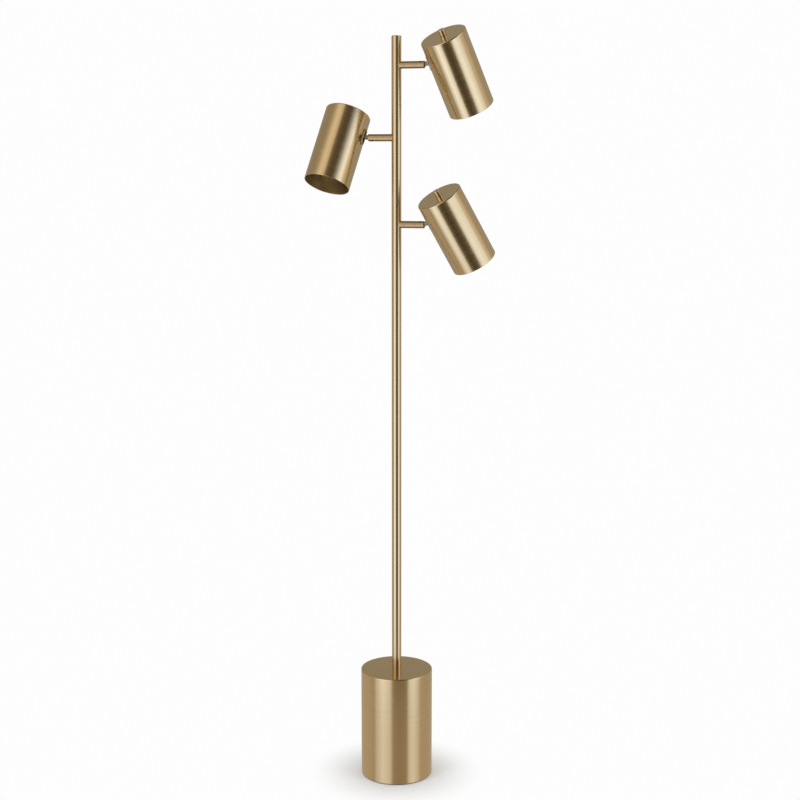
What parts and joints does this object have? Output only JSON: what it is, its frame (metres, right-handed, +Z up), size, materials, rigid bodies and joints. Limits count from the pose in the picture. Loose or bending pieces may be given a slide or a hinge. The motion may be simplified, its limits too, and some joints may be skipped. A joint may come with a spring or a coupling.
{
  "type": "floor lamp",
  "caption": "Tree floor lamp in brushed brass: drum base, slim pole and cylinder spot heads on short arms that swivel and tilt, each with a rotary switch.",
  "frame": {"origin": "centre of the base's underside, on the floor", "axes": "+Z up along the pole, X along the arms, the mains inlet at +Y"},
  "size_m": [0.3635, 0.1655, 1.5062],
  "materials": {
    "brushed_brass": "satin brushed, clear lacquered",
    "polished_brass": "fine turned, brighter than the tubes",
    "plated_steel": "zinc plated",
    "dark_steel": "blackened",
    "bearing_bronze": "turned, oiled",
    "cast_weight": "as cast",
    "black_rubber": "matt",
    "black_moulding": "heat resistant moulding",
    "bulb_cap_metal": "pressed",
    "opal_glass": "opal"
  },
  "bodies": {
    "root": {"arm_bushes": "bearing_bronze", "arm_grubs": "dark_steel", "arm_stubs": "brushed_brass", "base_pad": "black_rubber", "base_plate": "plated_steel", "base_shell": "brushed_brass", "base_weight": "cast_weight", "cord_gland": "black_rubber", "low_arm_tube": "brushed_brass", "lower_pole": "brushed_brass", "middle_arm_tube": "brushed_brass", "plate_screws": "plated_steel", "pole_cap": "brushed_brass", "pole_coupler": "plated_steel", "pole_foot": "plated_steel", "rod_nuts": "plated_steel", "rod_washers": "plated_steel", "tie_rod": "plated_steel", "top_arm_tube": "brushed_brass", "upper_pole": "brushed_brass"},
    "top_swivel": {"top_fork": "brushed_brass", "top_pivot_pin": "dark_steel", "top_stem_clip": "dark_steel"},
    "top_head": {"top_neck": "brushed_brass", "top_saddle": "brushed_brass", "top_neck_nut": "plated_steel", "top_shade": "brushed_brass", "top_lampholder": "black_moulding", "top_ring_nut": "plated_steel", "top_bulb_cap": "bulb_cap_metal", "top_bulb_glass": "opal_glass"},
    "top_knob": {"top_switch_knob": "polished_brass", "top_switch_spindle": "plated_steel"},
    "middle_swivel": {"middle_fork": "brushed_brass", "middle_pivot_pin": "dark_steel", "middle_stem_clip": "dark_steel"},
    "middle_head": {"middle_neck": "brushed_brass", "middle_saddle": "brushed_brass", "middle_neck_nut": "plated_steel", "middle_shade": "brushed_brass", "middle_lampholder": "black_moulding", "middle_ring_nut": "plated_steel", "middle_bulb_cap": "bulb_cap_metal", "middle_bulb_glass": "opal_glass"},
    "middle_knob": {"middle_switch_knob": "polished_brass", "middle_switch_spindle": "plated_steel"},
    "low_swivel": {"low_fork": "brushed_brass", "low_pivot_pin": "dark_steel", "low_stem_clip": "dark_steel"},
    "low_head": {"low_neck": "brushed_brass", "low_saddle": "brushed_brass", "low_neck_nut": "plated_steel", "low_shade": "brushed_brass", "low_lampholder": "black_moulding", "low_ring_nut": "plated_steel", "low_bulb_cap": "bulb_cap_metal", "low_bulb_glass": "opal_glass"},
    "low_knob": {"low_switch_knob": "polished_brass", "low_switch_spindle": "plated_steel"}
  },
  "joints": [
    {"name": "top_swivel_turn", "type": "hinge", "parent": "root", "child": "top_swivel", "pos_m": [0.0532, 0, 1.4328], "axis": [1, 0, 0], "range_deg": [-196.6, 143.4]},
    {"name": "top_head_tilt", "type": "hinge", "parent": "top_swivel", "child": "top_head", "pos_m": [0.0532, 0, 1.4328], "axis": [0, -0.8942, -0.4478], "range_deg": [-43.3, 44.7]},
    {"name": "top_switch_turn", "type": "hinge", "parent": "top_head", "child": "top_knob", "pos_m": [0.0986, -0.0258, 1.48432], "axis": [-0.2639, -0.4319, 0.8625], "continuous": true},
    {"name": "middle_swivel_turn", "type": "hinge", "parent": "root", "child": "middle_swivel", "pos_m": [-0.0532, 0, 1.2955], "axis": [-1, 0, 0], "range_deg": [-196.1, 143.9]},
    {"name": "middle_head_tilt", "type": "hinge", "parent": "middle_swivel", "child": "middle_head", "pos_m": [-0.0532, 0, 1.2955], "axis": [0, 0.898, -0.4399], "range_deg": [-36.8, 51.2]},
    {"name": "middle_switch_turn", "type": "hinge", "parent": "middle_head", "child": "middle_knob", "pos_m": [-0.10483, 0.02293, 1.3423], "axis": [0.153, 0.4348, 0.8875], "continuous": true},
    {"name": "low_swivel_turn", "type": "hinge", "parent": "root", "child": "low_swivel", "pos_m": [0.0532, 0, 1.1287], "axis": [1, 0, 0], "range_deg": [-194.8, 145.2]},
    {"name": "low_head_tilt", "type": "hinge", "parent": "low_swivel", "child": "low_head", "pos_m": [0.0532, 0, 1.1287], "axis": [0, -0.9078, -0.4195], "range_deg": [-49.9, 38.1]},
    {"name": "low_switch_turn", "type": "hinge", "parent": "low_head", "child": "low_knob", "pos_m": [0.09168, -0.0262, 1.1854], "axis": [-0.373, -0.3892, 0.8423], "continuous": true}
  ]
}
